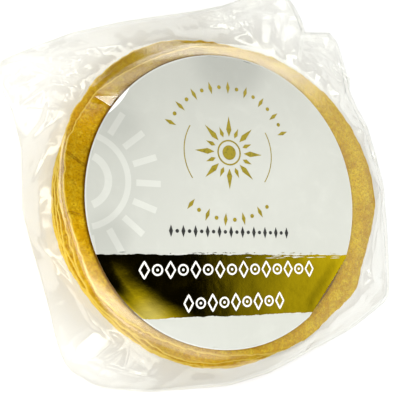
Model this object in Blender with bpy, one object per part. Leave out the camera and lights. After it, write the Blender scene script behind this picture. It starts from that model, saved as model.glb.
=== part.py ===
"""A sealed clear film pack that holds a stack of corn tortillas, with a round label on its top.

The pack lies flat on its underside. The origin is on the table under the middle of the label,
+X runs to the label's right, +Y to its head and +Z up. All lengths are in metres.
"""

import math

import bmesh
import bpy

MM = 0.001

# The stack inside the film. The tortillas have slid apart along X, so the stack is longer there.
TORTILLA_COUNT = 10
TORTILLA_THICKNESS = 2.0 * MM
STACK_HEIGHT = TORTILLA_COUNT * TORTILLA_THICKNESS
STACK_HALF_LENGTH = 80.0 * MM
STACK_HALF_WIDTH = 75.0 * MM

# The film round it: flat over the stack, bent over its rim, then down to a thin loose skirt.
FILM_OVER_STACK = 0.8 * MM
TOP_HEIGHT = STACK_HEIGHT + FILM_OVER_STACK
RIM_ROUNDING = 2.5 * MM
FALL_LENGTH = 7.0 * MM             # how far out the film falls to about a third of its height
SKIRT_HEIGHT = 1.6 * MM
SKIRT_WAVE = 0.5 * MM
SKIRT_WAVE_COUNT = 17

# The label, a round sticker on the outside of the film.
LABEL_RADIUS = 67.0 * MM
LABEL_THICKNESS = 0.4 * MM
LABEL_GAP = 0.3 * MM

# The top is not quite flat: both the film and the label follow the same shallow waves.
TOP_WAVE = 0.25 * MM
TOP_WAVE_LENGTH = 95.0 * MM

# Corners and bends of the film's edge in millimetres, anticlockwise from the right-hand side.
EDGE_MM = (
    (104.5, -6.0), (103.0, 17.0), (94.5, 46.0), (83.0, 65.5), (79.5, 86.0), (74.7, 99.0),
    (54.0, 95.5), (52.0, 106.6), (43.0, 117.0), (28.5, 116.5), (15.3, 106.4), (6.6, 102.0),
    (-18.0, 93.0), (-45.8, 84.0), (-69.0, 75.0), (-86.0, 66.0), (-100.0, 57.0), (-102.4, 50.0),
    (-95.7, 40.0), (-90.3, 21.0), (-89.2, -6.5), (-85.5, -20.0), (-77.0, -48.0), (-73.5, -62.5),
    (-69.0, -73.0), (-55.7, -81.6), (-33.5, -85.0), (5.6, -85.3), (27.0, -81.0), (50.6, -72.3),
    (75.7, -63.8), (92.7, -54.7), (103.4, -48.0), (104.8, -38.0),
)

# Folds that run out from the stack to the film's edge: direction in degrees, crest height in
# millimetres, half width in degrees.
FOLDS = (
    (6.0, 2.6, 5.0), (26.0, 3.2, 5.5), (42.0, 4.2, 5.0), (62.0, 3.6, 4.5), (82.0, 2.8, 6.0),
    (109.0, 2.0, 6.0), (134.0, 2.6, 5.0), (148.0, 4.6, 5.0), (166.0, 2.4, 5.0),
    (182.0, 2.2, 5.0), (204.0, 3.8, 5.5), (229.0, 4.4, 5.5), (244.0, 2.4, 5.0),
    (263.0, 1.8, 6.0), (288.0, 1.8, 6.0), (311.0, 2.6, 5.0), (334.0, 4.4, 5.0),
)

# How finely the round shapes are divided.
SECTORS = 120
LABEL_RINGS = 4
RIM_TURNS = 3
SKIRT_STEPS = (0.07, 0.16, 0.27, 0.40, 0.55, 0.72, 0.88, 1.0)


def clear_scene():
    """Remove every object, so that only the pack's own pieces remain."""
    for item in list(bpy.data.objects):
        bpy.data.objects.remove(item, do_unlink=True)


def make_material(name, color, roughness, metallic=0.0):
    """A plain Principled material with one colour."""
    material = bpy.data.materials.new(name)
    material.use_nodes = True
    shader = material.node_tree.nodes["Principled BSDF"]
    shader.inputs["Base Color"].default_value = (*color, 1.0)
    shader.inputs["Roughness"].default_value = roughness
    shader.inputs["Metallic"].default_value = metallic
    return material


def sector_angle(sector):
    return 2.0 * math.pi * sector / SECTORS


def stack_radius(angle):
    """Distance from the middle to the side of the stack, an ellipse seen from above."""
    across = STACK_HALF_WIDTH * math.cos(angle)
    along = STACK_HALF_LENGTH * math.sin(angle)
    return STACK_HALF_LENGTH * STACK_HALF_WIDTH / math.hypot(across, along)


def edge_radius(angle):
    """Distance from the middle to the film's edge, along a straight line in this direction."""
    dx, dy = math.cos(angle), math.sin(angle)
    for (x1, y1), (x2, y2) in zip(EDGE_MM, EDGE_MM[1:] + EDGE_MM[:1]):
        before = dx * y1 - dy * x1
        after = dx * y2 - dy * x2
        if before <= 0.0 < after and x1 * dx + y1 * dy > 0.0:
            share = before / (before - after)
            x = x1 + share * (x2 - x1)
            y = y1 + share * (y2 - y1)
            return math.hypot(x, y) * MM
    raise ValueError("the film's edge does not go round the origin")


def top_wave(x, y):
    """Height of the shallow waves that the flat top has, fading out towards the rim."""
    turn = 2.0 * math.pi / TOP_WAVE_LENGTH
    fade = max(0.0, 1.0 - (math.hypot(x, y) / STACK_HALF_WIDTH) ** 2)
    return TOP_WAVE * fade * math.sin(turn * (x + 0.4 * y)) * math.cos(turn * 0.7 * y)


def fold_height(angle):
    """Height that the skirt's folds add in this direction."""
    degrees = math.degrees(angle)
    height = SKIRT_WAVE * (1.0 + math.sin(SKIRT_WAVE_COUNT * angle))
    for direction, crest, half_width in FOLDS:
        apart = abs((degrees - direction + 180.0) % 360.0 - 180.0)
        height += crest * MM * max(0.0, 1.0 - apart / half_width)
    return height


def flat_profile(angle):
    """Points of the flat top in one direction, as (radius, height), out to the label's edge."""
    points = []
    for ring in range(1, LABEL_RINGS + 1):
        radius = LABEL_RADIUS * ring / LABEL_RINGS
        wave = top_wave(radius * math.cos(angle), radius * math.sin(angle))
        points.append((radius, TOP_HEIGHT + wave))
    return points


def rim_profile(angle):
    """Points of the rounded rim in one direction, as (radius, height)."""
    middle = stack_radius(angle) - RIM_ROUNDING
    points = []
    for turn in range(RIM_TURNS):
        bend = math.radians(70.0) * turn / (RIM_TURNS - 1)
        radius = middle + RIM_ROUNDING * math.sin(bend)
        points.append((radius, TOP_HEIGHT - RIM_ROUNDING * (1.0 - math.cos(bend))))
    return points


def skirt_profile(angle, start):
    """Points of the falling film and the skirt in one direction, as (radius, height)."""
    rim_radius, rim_height = start
    edge = edge_radius(angle)
    points = []
    for step in SKIRT_STEPS:
        radius = rim_radius + step * (edge - rim_radius)
        lift = math.exp((rim_radius - radius) / FALL_LENGTH)
        at_edge = math.exp((rim_radius - edge) / FALL_LENGTH)
        lift = (lift - at_edge) / (1.0 - at_edge)
        skirt = SKIRT_HEIGHT + fold_height(angle) * math.sin(0.75 * math.pi * step)
        points.append((radius, skirt + lift * (rim_height - SKIRT_HEIGHT)))
    return points


def add_ring(mesh, points):
    """One ring of vertices from a (radius, height) pair for each sector."""
    ring = []
    for sector, (radius, height) in enumerate(points):
        angle = sector_angle(sector)
        ring.append(mesh.verts.new((radius * math.cos(angle), radius * math.sin(angle), height)))
    return ring


def join_rings(mesh, inner, outer):
    """A band of faces between two rings, facing up if the outer ring lies further out."""
    for sector in range(SECTORS):
        following = (sector + 1) % SECTORS
        mesh.faces.new((inner[sector], outer[sector], outer[following], inner[following]))


def cap_ring(mesh, ring, height, upward):
    """A fan of triangles that closes a ring round a middle vertex."""
    middle = mesh.verts.new((0.0, 0.0, height))
    for sector in range(SECTORS):
        following = (sector + 1) % SECTORS
        corners = (ring[sector], ring[following], middle)
        mesh.faces.new(corners if upward else corners[::-1])


def link_object(name, mesh, material):
    """Turn a finished bmesh into a smooth-shaded object of its own."""
    data = bpy.data.meshes.new(name)
    mesh.to_mesh(data)
    mesh.free()
    data.materials.append(material)
    data.shade_smooth()
    data.set_sharp_from_angle(angle=math.radians(50.0))
    item = bpy.data.objects.new(name, data)
    bpy.context.scene.collection.objects.link(item)
    return item


def make_film_bag():
    """The closed film pack: flat underside, drum over the stack, folded skirt all round."""
    mesh = bmesh.new()
    columns = []
    for sector in range(SECTORS):
        angle = sector_angle(sector)
        column = flat_profile(angle) + rim_profile(angle)
        columns.append(column + skirt_profile(angle, column[-1]))
    rings = [add_ring(mesh, points) for points in zip(*columns)]
    for inner, outer in zip(rings, rings[1:]):
        join_rings(mesh, inner, outer)
    cap_ring(mesh, rings[0], TOP_HEIGHT + top_wave(0.0, 0.0), upward=True)
    underside = add_ring(mesh, [(column[-1][0], 0.0) for column in columns])
    join_rings(mesh, rings[-1], underside)
    cap_ring(mesh, underside, 0.0, upward=False)
    material = make_material("clear_film", (0.86, 0.80, 0.64), roughness=0.18)
    return link_object("film_bag", mesh, material)


def make_label():
    """The round sticker, a thin sheet that follows the waves of the film under it."""
    mesh = bmesh.new()
    columns = [flat_profile(sector_angle(sector)) for sector in range(SECTORS)]
    middle = TOP_HEIGHT + top_wave(0.0, 0.0) + LABEL_GAP
    sheets = []
    for rise in (LABEL_GAP + LABEL_THICKNESS, LABEL_GAP):
        raised = [[(radius, height + rise) for radius, height in column] for column in columns]
        sheets.append([add_ring(mesh, points) for points in zip(*raised)])
    upper, lower = sheets
    for inner, outer in zip(upper, upper[1:]):
        join_rings(mesh, inner, outer)
    for inner, outer in zip(lower, lower[1:]):
        join_rings(mesh, outer, inner)
    cap_ring(mesh, upper[0], middle + LABEL_THICKNESS, upward=True)
    cap_ring(mesh, lower[0], middle, upward=False)
    join_rings(mesh, upper[-1], lower[-1])
    material = make_material("label_paper", (0.84, 0.84, 0.83), roughness=0.45)
    return link_object("label", mesh, material)


clear_scene()
make_film_bag()
make_label()
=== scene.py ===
"""Sealed clear film pack of ten corn tortillas with a round paper label on the film: its finished look.

Millimetres are used throughout, and a mesh is turned into metres when its piece is made.
"""
import math

import bpy
import numpy as np
from mathutils import Matrix, Vector


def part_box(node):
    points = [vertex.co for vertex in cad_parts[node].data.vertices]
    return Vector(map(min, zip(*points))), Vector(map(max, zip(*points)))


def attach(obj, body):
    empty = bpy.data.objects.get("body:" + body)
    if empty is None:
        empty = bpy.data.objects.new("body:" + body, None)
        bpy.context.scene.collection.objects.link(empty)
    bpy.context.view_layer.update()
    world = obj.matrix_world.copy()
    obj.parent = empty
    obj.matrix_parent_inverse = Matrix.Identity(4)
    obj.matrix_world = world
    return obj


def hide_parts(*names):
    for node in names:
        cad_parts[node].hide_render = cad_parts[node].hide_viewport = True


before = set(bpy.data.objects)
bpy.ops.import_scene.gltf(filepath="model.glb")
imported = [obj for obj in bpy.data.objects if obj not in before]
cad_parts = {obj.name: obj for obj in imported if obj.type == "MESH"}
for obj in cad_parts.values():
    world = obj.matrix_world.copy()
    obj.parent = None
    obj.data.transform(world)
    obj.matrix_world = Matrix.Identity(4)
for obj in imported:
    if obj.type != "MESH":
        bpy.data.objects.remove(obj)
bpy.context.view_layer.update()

MM = 0.001

# ------------------------------------------------------------------ driving sizes, from the frame
label_low, label_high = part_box("label")
bag_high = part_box("film_bag")[1]
LABEL_RADIUS = (label_high.x - label_low.x) / 2 / MM
BAG_TOP = bag_high.z / MM

TORTILLA_COUNT = 10
BAG_FLOOR = 0.5
FILM_OVER_STACK = 0.55
FILM_GAP = 0.35
STACK_TOP = BAG_TOP - FILM_OVER_STACK
TORTILLA_THICKNESS = (STACK_TOP - BAG_FLOOR) / TORTILLA_COUNT
LABEL_LIFT = 0.35
LABEL_THICKNESS = 0.3

# outlines of the tortillas, as (direction in degrees, distance from the pack's middle)
TOP_OUTLINE = ((-178, 74.6), (-163, 72.6), (-145, 72.9), (-122, 70.2), (-92, 69.9), (-74, 72.8),
               (-60, 75.2), (-45, 76.2), (-31, 80.6), (-21, 79.4), (0, 83.4), (12, 83.4), (30, 81.2),
               (45, 78.9), (75, 75.0), (92, 72.8), (130, 73.0), (152, 76.4), (168, 76.7))
SECOND_OUTLINE = ((-178, 77.0), (-166, 74.9), (-147, 75.7), (-122, 73.3), (-109, 74.2), (-88, 73.0),
                  (-70, 73.6), (-30, 76.0), (0, 76.5), (40, 76.2), (80, 74.8), (103, 76.4), (122, 78.8),
                  (143, 79.3), (165, 78.4))
LOWER_OUTLINE = ((-180, 77.4), (-163, 76.8), (-144, 75.0), (-122, 74.8), (-98, 76.0), (-70, 75.2),
                 (-35, 75.6), (20, 75.8), (60, 75.0), (120, 76.6), (150, 77.4))


# ------------------------------------------------------------------ number helpers
TABLE_SIZE = 64
FACET_JITTER = 0.38


def smooth_step(value, low, high):
    """0 below low, 1 above high and a soft rise between them."""
    t = np.clip((value - low) / (high - low), 0.0, 1.0)
    return t * t * (3.0 - 2.0 * t)


def mix(a, b, share):
    """From a at 0 to b at 1."""
    return a + (b - a) * share


def random_table(seed):
    """A fixed square table of random numbers from -1 to 1."""
    return np.random.default_rng(seed).uniform(-1.0, 1.0, (TABLE_SIZE, TABLE_SIZE))


def soft_noise(x, y, size, seed):
    """Soft random waves, from -1 to 1, about size millimetres across."""
    table = random_table(seed)
    u, v = x / size, y / size
    column, row = np.floor(u).astype(int), np.floor(v).astype(int)
    fu, fv = smooth_step(u - column, 0.0, 1.0), smooth_step(v - row, 0.0, 1.0)

    def across(j):
        left, right = column % TABLE_SIZE, (column + 1) % TABLE_SIZE
        return mix(table[left, j % TABLE_SIZE], table[right, j % TABLE_SIZE], fu)

    return mix(across(row), across(row + 1), fv)


def facets(x, y, size, seed):
    """Flat facets about size millimetres across that meet in sharp creases, from -1 to 1."""
    heights, shift_x, shift_y = (random_table(seed + step) for step in (0, 101, 202))
    u, v = x / size, y / size
    column, row = np.floor(u).astype(int), np.floor(v).astype(int)
    result = np.zeros_like(u)
    found = np.zeros(u.shape, bool)

    def corner(i, j):
        at = i % TABLE_SIZE, j % TABLE_SIZE
        return i + FACET_JITTER * shift_x[at], j + FACET_JITTER * shift_y[at], heights[at]

    for step_i in (0, -1, 1):
        for step_j in (0, -1, 1):
            i, j = column + step_i, row + step_j
            a, b, c, d = corner(i, j), corner(i + 1, j), corner(i + 1, j + 1), corner(i, j + 1)
            for p, q, r in ((a, b, c), (a, c, d)):
                area = (q[0] - p[0]) * (r[1] - p[1]) - (r[0] - p[0]) * (q[1] - p[1])
                share_q = ((u - p[0]) * (r[1] - p[1]) - (r[0] - p[0]) * (v - p[1])) / area
                share_r = ((q[0] - p[0]) * (v - p[1]) - (u - p[0]) * (q[1] - p[1])) / area
                share_p = 1.0 - share_q - share_r
                inside = (np.minimum(np.minimum(share_p, share_q), share_r) >= -1e-9) & ~found
                result = np.where(inside, share_p * p[2] + share_q * q[2] + share_r * r[2], result)
                found |= inside
    return result


def distance_to_line(x, y, points):
    """Distance from each place to the line through points, and how far along it that is, 0 to 1."""
    points = np.array(points, float)
    lengths = np.hypot(*np.diff(points, axis=0).T)
    starts = np.concatenate([[0.0], np.cumsum(lengths)])
    nearest = np.full(x.shape, 1e9)
    along = np.zeros(x.shape)
    for (px, py), (qx, qy), length, start in zip(points[:-1], points[1:], lengths, starts):
        t = np.clip(((x - px) * (qx - px) + (y - py) * (qy - py)) / length ** 2, 0.0, 1.0)
        distance = np.hypot(x - px - t * (qx - px), y - py - t * (qy - py))
        closer = distance < nearest
        nearest = np.where(closer, distance, nearest)
        along = np.where(closer, (start + t * length) / starts[-1], along)
    return nearest, along


def crease(x, y, points, height, width):
    """A sharp fold along the line through points, highest in its middle and gone at its ends."""
    distance, along = distance_to_line(x, y, points)
    ends = np.sin(np.pi * np.clip(along, 0.02, 0.98)) ** 0.6
    return height * ends * np.maximum(0.0, 1.0 - distance / width)


def degrees_apart(angle, direction):
    """How far angle, in radians, is from direction, in degrees, either way round."""
    return np.abs((np.degrees(angle) - direction + 180.0) % 360.0 - 180.0)


def bell(angle, direction, spread):
    """1 in that direction, falling away softly over spread degrees to each side."""
    return np.exp(-(degrees_apart(angle, direction) / spread) ** 2)


def smooth_ring(angle, outline):
    """Distance to a closed outline in each direction, smooth through its (degrees, distance) points."""
    at, reach = (np.array(row, float) for row in zip(*outline))
    at = np.concatenate([at[-1:] - 360.0, at, at[:2] + 360.0])
    reach = np.concatenate([reach[-1:], reach, reach[:2]])
    slope = np.gradient(reach, at)
    turned = (np.degrees(angle) - at[1]) % 360.0 + at[1]
    k = np.clip(np.searchsorted(at, turned, side="right") - 1, 1, len(at) - 3)
    span = at[k + 1] - at[k]
    t = (turned - at[k]) / span
    rise, bend = t * t * (3.0 - 2.0 * t), t * (1.0 - t)
    return mix(reach[k], reach[k + 1], rise) + span * bend * (slope[k] * (1.0 - t) - slope[k + 1] * t)


def all_round(sectors):
    """That many equal steps of direction round the pack's middle, in radians."""
    return np.arange(sectors) * 2 * math.pi / sectors


# ------------------------------------------------------------------ shared forms of the pack
def ragged_edge(angle, outline, seed, ragged):
    """One tortilla's outline with the small unevenness of its cooked rim."""
    round_x, round_y = 75.0 * np.cos(angle), 75.0 * np.sin(angle)
    radius = smooth_ring(angle, outline) + 0.35 * soft_noise(round_x, round_y, 11.0, seed)
    radius = radius + ragged * soft_noise(round_x, round_y, 3.1, seed + 1)
    return radius + 0.4 * ragged * soft_noise(round_x, round_y, 1.2, seed + 2)


def tortilla_edge(level, angle):
    """Edge of the tortilla at this level, 0 at the bottom. The lower ones lie a little out of line."""
    below = TORTILLA_COUNT - 1 - level
    if below == 0:
        return ragged_edge(angle, TOP_OUTLINE, 11, ragged=0.4)
    if below == 1:
        return ragged_edge(angle, SECOND_OUTLINE, 21, ragged=0.4)
    shift = np.random.default_rng(300 + level).uniform(-0.6, 0.6, 2)
    radius = ragged_edge(angle, LOWER_OUTLINE, 31 + 10 * level, ragged=0.35)
    return radius + shift[0] * np.cos(angle) + shift[1] * np.sin(angle)


def stack_relief(x, y):
    """How far the stack's uneven top stands above or below its level. The film and label follow it."""
    radius = np.hypot(x, y)
    angle = np.arctan2(y, x)
    fade = np.maximum(0.0, 1.0 - (radius / 95.0) ** 2)
    waves = 0.28 * fade * np.sin(2 * math.pi * (x + 0.4 * y) / 95.0) * np.cos(1.4 * math.pi * y / 95.0)
    front_slump = 2.5 * bell(angle, -128.0, 33.0) * smooth_step(radius, 53.0, 79.0)
    front_droop = 1.6 * bell(angle, -124.0, 42.0) * smooth_step(radius, LABEL_RADIUS - 1.0, 79.0)
    back_sag = 1.7 * bell(angle, 92.0, 46.0) * smooth_step(radius, LABEL_RADIUS - 1.0, 79.0)
    return waves - front_slump - front_droop - back_sag - rim_droop(radius, angle)


def rim_droop(radius, angle):
    """How far the margin outside the label curls down towards its rim, most of all on the right."""
    rim = smooth_ring(angle, TOP_OUTLINE)
    start = np.maximum(LABEL_RADIUS, rim - 8.0)
    share = np.clip((radius - start) / (rim - start), 0.0, 1.0)
    return mix(0.25, 1.0, bell(angle, 0.0, 55.0)) * share ** 2


def level_top(level):
    """Height of a tortilla's upper face before the stack's unevenness."""
    return BAG_FLOOR + (level + 1) * TORTILLA_THICKNESS


def read_film_outline():
    """The film's cut edge: its distance from the middle in each direction, from the frame's own bag."""
    points = np.array([v.co[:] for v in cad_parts["film_bag"].data.vertices]) / MM
    radius = np.hypot(points[:, 0], points[:, 1])
    angle = np.arctan2(points[:, 1], points[:, 0]) % (2 * math.pi)
    sectors = 120
    sector = np.round(angle / (2 * math.pi) * sectors).astype(int) % sectors
    edge = np.array([radius[sector == s].max() for s in range(sectors)])
    return np.arange(sectors + 1) * 2 * math.pi / sectors, np.append(edge, edge[0])


OUTLINE_ANGLES, OUTLINE_RADII = read_film_outline()


def film_edge(angle):
    """Distance from the middle to the film's cut edge."""
    return np.interp(angle % (2 * math.pi), OUTLINE_ANGLES, OUTLINE_RADII)


# ------------------------------------------------------------------ mesh helpers
def new_piece(name, points, faces, material):
    """A mesh object from points in millimetres and faces, which rides on the pack."""
    mesh = bpy.data.meshes.new(name)
    mesh.from_pydata((np.asarray(points, float) * MM).tolist(), [], [tuple(f) for f in faces])
    mesh.validate()
    mesh.shade_smooth()
    mesh.materials.append(material)
    piece = bpy.data.objects.new(name, mesh)
    bpy.context.scene.collection.objects.link(piece)
    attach(piece, "root")
    return piece


def ring_faces(rings, sectors):
    """Four-sided faces between neighbouring rings of points, facing up where the rings grow outwards."""
    i, j = np.meshgrid(np.arange(rings - 1), np.arange(sectors), indexing="ij")
    inner, after = i * sectors, (j + 1) % sectors
    quads = np.stack([inner + j, inner + sectors + j, inner + sectors + after, inner + after], -1)
    return quads.reshape(-1, 4).tolist()


def fan_faces(centre, first, sectors, up=True):
    """Triangles from a centre point to the ring that starts at first."""
    if up:
        return [(centre, first + j, first + (j + 1) % sectors) for j in range(sectors)]
    return [(centre, first + (j + 1) % sectors, first + j) for j in range(sectors)]


def grid_faces(rows, columns):
    """Four-sided faces of an open grid whose points run row by row."""
    i, j = np.meshgrid(np.arange(rows - 1), np.arange(columns - 1), indexing="ij")
    first = i * columns + j
    return np.stack([first, first + 1, first + columns + 1, first + columns], -1).reshape(-1, 4).tolist()


def raised_ring(angle, radius, height):
    """Points at that distance from the middle, in each direction, and at that height."""
    return np.stack([radius * np.cos(angle), radius * np.sin(angle), height], -1)


def ring_piece(name, rings, material, underside=True):
    """A piece from rings that start at its middle and, where it has an underside, end there too."""
    rings = np.asarray(rings)
    count, sectors = rings.shape[:2]
    points, centres = rings.reshape(-1, 3), [rings[0].mean(0)]
    faces = ring_faces(count, sectors) + fan_faces(len(points), 0, sectors)
    if underside:
        faces += fan_faces(len(points) + 1, len(points) - sectors, sectors, up=False)
        centres.append(rings[-1].mean(0))
    return new_piece(name, np.vstack([points, centres]), faces, material)


def joined_piece(name, shapes, material):
    """Many shapes, each with its points and faces, joined into one piece."""
    points, faces, start = [], [], 0
    for shape_points, shape_faces in shapes:
        points.append(shape_points)
        faces += [tuple(start + k for k in face) for face in shape_faces]
        start += len(shape_points)
    return new_piece(name, np.concatenate(points), faces, material)


# ------------------------------------------------------------------ shader helpers
def new_material(name):
    """An empty node material and its node tree."""
    material = bpy.data.materials.new(name)
    material.use_nodes = True
    material.node_tree.nodes.clear()
    return material, material.node_tree


def add_node(tree, kind, inputs=None, **settings):
    """A node with its settings. Each of its inputs is a value or another node's output."""
    node = tree.nodes.new(kind)
    for key, value in settings.items():
        setattr(node, key, value)
    for key, value in (inputs or {}).items():
        if isinstance(value, bpy.types.NodeSocket):
            tree.links.new(value, node.inputs[key])
        else:
            node.inputs[key].default_value = value
    return node


def maths(tree, operation, first, second=0.0, **settings):
    """One sum of two numbers or outputs."""
    return add_node(tree, "ShaderNodeMath", {0: first, 1: second}, operation=operation, **settings).outputs[0]


def vector_maths(tree, operation, first, second=(0.0, 0.0, 0.0)):
    """One sum of two vectors, as a vector, or as a number for a dot product or a distance."""
    node = add_node(tree, "ShaderNodeVectorMath", {0: first, 1: second}, operation=operation)
    return node.outputs["Value" if operation in ("DOT_PRODUCT", "DISTANCE") else "Vector"]


def soft_change(tree, value, start, end, low=0.0, high=1.0):
    """low where value is at start, high where it is at end, and a soft change between them."""
    limits = {"Value": value, "From Min": start, "From Max": end, "To Min": low, "To Max": high}
    return add_node(tree, "ShaderNodeMapRange", limits, interpolation_type="SMOOTHSTEP").outputs["Result"]


def between(tree, mask, low, high):
    """low where mask is 0 and high where it is 1."""
    limits = {"Value": mask, "To Min": low, "To Max": high}
    return add_node(tree, "ShaderNodeMapRange", limits).outputs["Result"]


def object_place(tree):
    """Each spot's own place on the pack, in metres."""
    return add_node(tree, "ShaderNodeTexCoord").outputs["Object"]


def new_group(name, inputs, output):
    """A shader node group with named inputs, each a number or a place, and one named output."""
    tree = bpy.data.node_groups.new(name, "ShaderNodeTree")
    for socket, default in inputs.items():
        kind = "NodeSocketVector" if isinstance(default, tuple) else "NodeSocketFloat"
        made = tree.interface.new_socket(name=socket, in_out="INPUT", socket_type=kind)
        made.default_value = default
    tree.interface.new_socket(name=output, in_out="OUTPUT", socket_type="NodeSocketFloat")
    return tree, tree.nodes.new("NodeGroupInput").outputs


def use_group(tree, group, **inputs):
    """What one copy of a node group puts out, with its own values."""
    return add_node(tree, "ShaderNodeGroup", inputs, node_tree=group).outputs[0]


def make_mottle_group():
    """Cloudy patches: a mask from 0 to 1, whose patches are finer where Scale is higher."""
    tree, given = new_group("mottle", {"Scale": 60.0, "Low": 0.4, "High": 0.65}, "Mask")
    clouds = {"Vector": object_place(tree), "Scale": given["Scale"], "Detail": 5.0, "Roughness": 0.62,
              "Distortion": 0.4}
    noise = add_node(tree, "ShaderNodeTexNoise", clouds).outputs["Fac"]
    add_node(tree, "NodeGroupOutput", {"Mask": soft_change(tree, noise, given["Low"], given["High"])})
    return tree


def make_grain_group():
    """Fine uneven grain: a height for bump, from coarse crumbs and finer ones."""
    tree, given = new_group("fine_grain", {"Scale": 900.0}, "Height")
    place = object_place(tree)
    fine = add_node(tree, "ShaderNodeTexNoise",
                    {"Vector": place, "Scale": given["Scale"], "Detail": 4.0, "Roughness": 0.7})
    coarser = maths(tree, "MULTIPLY", given["Scale"], 0.55)
    crumbs = add_node(tree, "ShaderNodeTexVoronoi", {"Vector": place, "Scale": coarser}, feature="SMOOTH_F1")
    total = maths(tree, "ADD", fine.outputs["Fac"], crumbs.outputs["Distance"])
    add_node(tree, "NodeGroupOutput", {"Height": total})
    return tree


def make_speck_group():
    """Scattered specks: a mask that is 1 inside small round spots of uneven size."""
    tree, given = new_group("specks", {"Scale": 300.0, "Size": 0.2}, "Mask")
    cells = add_node(tree, "ShaderNodeTexVoronoi", {"Vector": object_place(tree), "Scale": given["Scale"]},
                     feature="F1")
    parts = add_node(tree, "ShaderNodeSeparateColor", {"Color": cells.outputs["Color"]})
    reach = maths(tree, "MULTIPLY", parts.outputs["Red"], given["Size"])
    add_node(tree, "NodeGroupOutput", {"Mask": maths(tree, "LESS_THAN", cells.outputs["Distance"], reach)})
    return tree


def round_mask(tree, centre, inner, outer):
    """1 nearer than inner to centre and 0 beyond outer, in metres over the table, with a soft change."""
    flat = vector_maths(tree, "MULTIPLY", object_place(tree), (1.0, 1.0, 0.0))
    return soft_change(tree, vector_maths(tree, "DISTANCE", flat, centre), outer, inner)


def make_round_place_group():
    """A round place on the pack: a mask that is 1 nearer than Inner to Centre and 0 beyond Outer."""
    tree, given = new_group("round_place", {"Centre": (0.0, 0.0, 0.0), "Inner": 0.01, "Outer": 0.02}, "Mask")
    mask = round_mask(tree, given["Centre"], given["Inner"], given["Outer"])
    add_node(tree, "NodeGroupOutput", {"Mask": mask})
    return tree


def make_across_group():
    """A soft change from left to right: a mask that is 0 at Start and 1 at End along X, in metres."""
    tree, given = new_group("across", {"Start": 0.0, "End": 0.1}, "Mask")
    parts = add_node(tree, "ShaderNodeSeparateXYZ", {0: object_place(tree)})
    mask = soft_change(tree, parts.outputs["X"], given["Start"], given["End"])
    add_node(tree, "NodeGroupOutput", {"Mask": mask})
    return tree


MOTTLE = make_mottle_group()
GRAIN = make_grain_group()
SPECKS = make_speck_group()
ROUND_PLACE = make_round_place_group()
ACROSS = make_across_group()


def blend_colour(tree, mask, first, second, blend="MIX"):
    """The colour first where mask is 0 and second where it is 1. Each is a colour or an output."""
    first, second = (colour if isinstance(colour, bpy.types.NodeSocket) else (*colour, 1.0)
                     for colour in (first, second))
    node = add_node(tree, "ShaderNodeMix", {"Factor": mask, 6: first, 7: second}, data_type="RGBA",
                    blend_type=blend)
    return node.outputs[2]


def tone_down(tree, mask, colour, tone):
    """The colour multiplied by tone where mask is 1."""
    return blend_colour(tree, mask, colour, tone, blend="MULTIPLY")


def round_place(tree, middle, inner, outer):
    """A copy of the round place's group, from millimetres."""
    centre = (middle[0] * MM, middle[1] * MM, 0.0)
    return use_group(tree, ROUND_PLACE, Centre=centre, Inner=inner * MM, Outer=outer * MM)


def tone_places(tree, colour, places):
    """The colour toned down in round places, as (middle, full within, none beyond, tone)."""
    for middle, inner, outer, tone in places:
        colour = tone_down(tree, round_place(tree, middle, inner, outer), colour, tone)
    return colour


def bump(tree, height, depth):
    """A normal with bumps of that height, as deep as depth in metres."""
    return add_node(tree, "ShaderNodeBump", {"Strength": 1.0, "Distance": depth, "Height": height}).outputs[0]


def finish(tree, changing, plain=None):
    """A surface shader with inputs that change over the piece and plain ones, sent to the output."""
    shader = add_node(tree, "ShaderNodeBsdfPrincipled", {**changing, **(plain or {})})
    add_node(tree, "ShaderNodeOutputMaterial", {"Surface": shader.outputs["BSDF"]})


# ------------------------------------------------------------------ finishes
MASA_DEEP = (0.6, 0.315, 0.001)
MASA_GOLD = (0.75, 0.445, 0.003)
MASA_PALE = (0.88, 0.66, 0.03)
MASA_TOASTED = (0.38, 0.175, 0.001)
# the crack colour is painted shade on the walls of the cracks
MASA_CRACK_SHADE = (0.2, 0.085, 0.001)
# the rim colour is a floury pale rim, partly a painted highlight along it
MASA_RIM_FLOUR_AND_HIGHLIGHT = (0.9, 0.68, 0.12)
LESS_RED = (0.85, 0.93, 0.95)
# painted shade on the masa, as (middle, all dark within, none beyond, tone): darker places where the light
# falls too brightly, then the shade round the label's edge and the shadow line beside its left edge
MASA_PAINTED_SHADE_PLACES = (
    ((-38.0, 62.0), 18.0, 42.0, (0.6, 0.63, 0.7)),
    ((16.0, 74.0), 22.0, 38.0, (0.86, 0.88, 0.92)),
    ((-76.0, 8.0), 10.0, 26.0, (0.74, 0.74, 0.8)),
    ((-42.0, -62.0), 14.0, 32.0, (0.8, 0.8, 0.84)),
    ((0.0, 0.0), LABEL_RADIUS, LABEL_RADIUS + 2.4, (0.84, 0.8, 0.74)),
    ((-0.6, 0.2), LABEL_RADIUS - 0.2, LABEL_RADIUS + 0.5, (0.45, 0.38, 0.3)),
)


def steep_masks(tree):
    """Masks for a tortilla's steep places: one for its floury rim, partly a painted highlight, and one for
    painted shade on the walls of its cracks.
    """
    spot = add_node(tree, "ShaderNodeTexCoord").outputs
    flat = vector_maths(tree, "MULTIPLY", spot["Object"], (1.0, 1.0, 0.0))
    outwards = vector_maths(tree, "NORMALIZE", flat)
    facing_out = vector_maths(tree, "DOT_PRODUCT", outwards, spot["Normal"])
    rim = soft_change(tree, facing_out, 0.3, 0.7, high=0.6)
    parts = add_node(tree, "ShaderNodeSeparateXYZ", {0: spot["Normal"]})
    steep = soft_change(tree, maths(tree, "ABSOLUTE", parts.outputs["Z"]), 0.95, 0.75, high=0.8)
    not_rim = maths(tree, "SUBTRACT", 1.0, rim, use_clamp=True)
    return rim, maths(tree, "MULTIPLY", steep, not_rim)


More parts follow.
